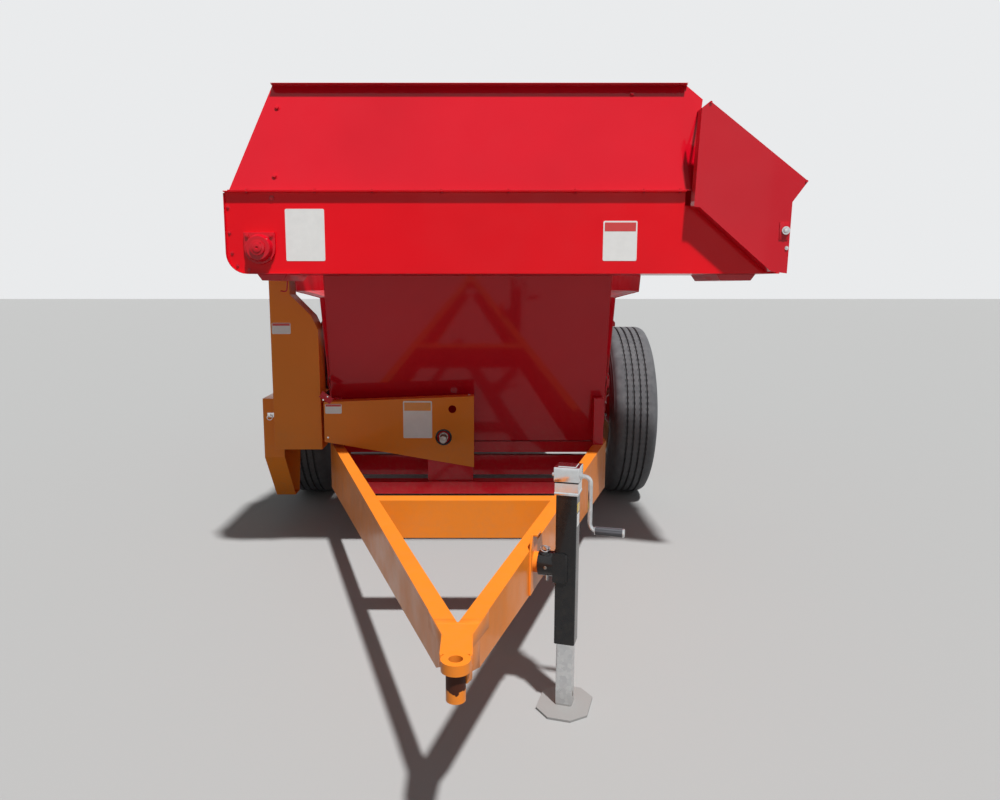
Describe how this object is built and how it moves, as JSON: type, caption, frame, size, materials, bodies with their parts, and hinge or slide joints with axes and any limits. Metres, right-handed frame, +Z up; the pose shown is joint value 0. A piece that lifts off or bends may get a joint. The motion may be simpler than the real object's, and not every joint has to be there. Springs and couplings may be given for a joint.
{
  "type": "feed wagon",
  "caption": "Towed feed wagon: high-sided feed box with floor apron, front slat elevator and cross conveyor unloading to one side, on a single axle with a tongue and a crank jack.",
  "frame": {"origin": "on the ground under the middle of the whole wagon's box", "axes": "+X the unloading side, +Y from the hitch to the rear, +Z up"},
  "size_m": [2.492, 5.473, 2.145],
  "materials": {
    "red_paint": "gloss",
    "orange_paint": "gloss",
    "cream_paint": "gloss",
    "black_paint": "gloss",
    "zinc_plate": "satin",
    "bare_steel": "satin",
    "tyre_rubber": "matte"
  },
  "bodies": {
    "wagon": {"apron_shafts": "bare_steel", "axle": "red_paint", "box_floor": "red_paint", "box_front_wall": "red_paint", "box_rear_wall": "red_paint", "box_side_left": "red_paint", "box_side_right": "red_paint", "chute_pivots": "zinc_plate", "conveyor_shafts": "bare_steel", "corner_posts": "red_paint", "cross_conveyor": "bare_steel", "drive_guard": "orange_paint", "drive_post": "red_paint", "elevator_apron": "bare_steel", "elevator_head_shaft": "bare_steel", "elevator_tail_shaft": "bare_steel", "floor_apron": "bare_steel", "front_crossmembers": "red_paint", "hitch_nose": "orange_paint", "hood_end": "red_paint", "hood_front": "red_paint", "hood_side_left": "red_paint", "hood_side_right": "red_paint", "jack_mount": "orange_paint", "lower_crossbar": "red_paint", "side_bearings": "red_paint", "side_guard_bracket": "orange_paint", "sill_left": "red_paint", "sill_right": "red_paint", "tongue_beam_left": "orange_paint", "tongue_beam_right": "orange_paint", "tongue_crossbar": "orange_paint", "trough_back": "red_paint", "trough_bearings": "red_paint", "trough_floor": "red_paint", "trough_front": "red_paint", "trough_hangers": "red_paint", "underframe_crossmembers": "red_paint", "vertical_guard": "orange_paint"},
    "wheel_left": {"tyre_left": "tyre_rubber", "rim_left": "cream_paint", "hub_left": "red_paint"},
    "wheel_right": {"tyre_right": "tyre_rubber", "rim_right": "cream_paint", "hub_right": "red_paint"},
    "jack": {"jack_tube": "black_paint", "jack_head": "zinc_plate"},
    "jack_leg": {"jack_leg": "zinc_plate"},
    "jack_crank": {"jack_crank": "zinc_plate"},
    "chute": {"chute_deflector": "red_paint"},
    "side_cover": {"side_guard": "orange_paint"},
    "input": {"input_shaft": "bare_steel"}
  },
  "joints": [
    {"name": "wheel_left_spin", "type": "hinge", "parent": "wagon", "child": "wheel_left", "pos_m": [-1.106, 0.5965, 0.525], "axis": [1, 0, 0], "continuous": true},
    {"name": "wheel_right_spin", "type": "hinge", "parent": "wagon", "child": "wheel_right", "pos_m": [0.834, 0.5965, 0.525], "axis": [1, 0, 0], "continuous": true},
    {"name": "jack_swing", "type": "hinge", "parent": "wagon", "child": "jack", "pos_m": [0.11882, -1.99461, 0.458], "axis": [0.9563, -0.2924, 0], "range_deg": [0, 90]},
    {"name": "jack_extend", "type": "slide", "parent": "jack", "child": "jack_leg", "axis": [0, 0, 1], "range_m": [-0.18, 0.195]},
    {"name": "jack_crank_turn", "type": "hinge", "parent": "jack", "child": "jack_crank", "pos_m": [0.18552, -2.01501, 0.74], "axis": [0.9563, -0.2924, 0], "continuous": true},
    {"name": "chute_tilt", "type": "hinge", "parent": "wagon", "child": "chute", "pos_m": [1.165, -0.7935, 1.527], "axis": [0, 1, 0], "range_deg": [0, 70]},
    {"name": "side_cover_hinge", "type": "hinge", "parent": "wagon", "child": "side_cover", "pos_m": [-1.204, 0.0205, 0.58], "axis": [0, 0, -1], "range_deg": [0, 95]},
    {"name": "input_spin", "type": "hinge", "parent": "wagon", "child": "input", "pos_m": [-0.256, -0.5035, 0.561], "axis": [0, 1, 0], "continuous": true}
  ]
}
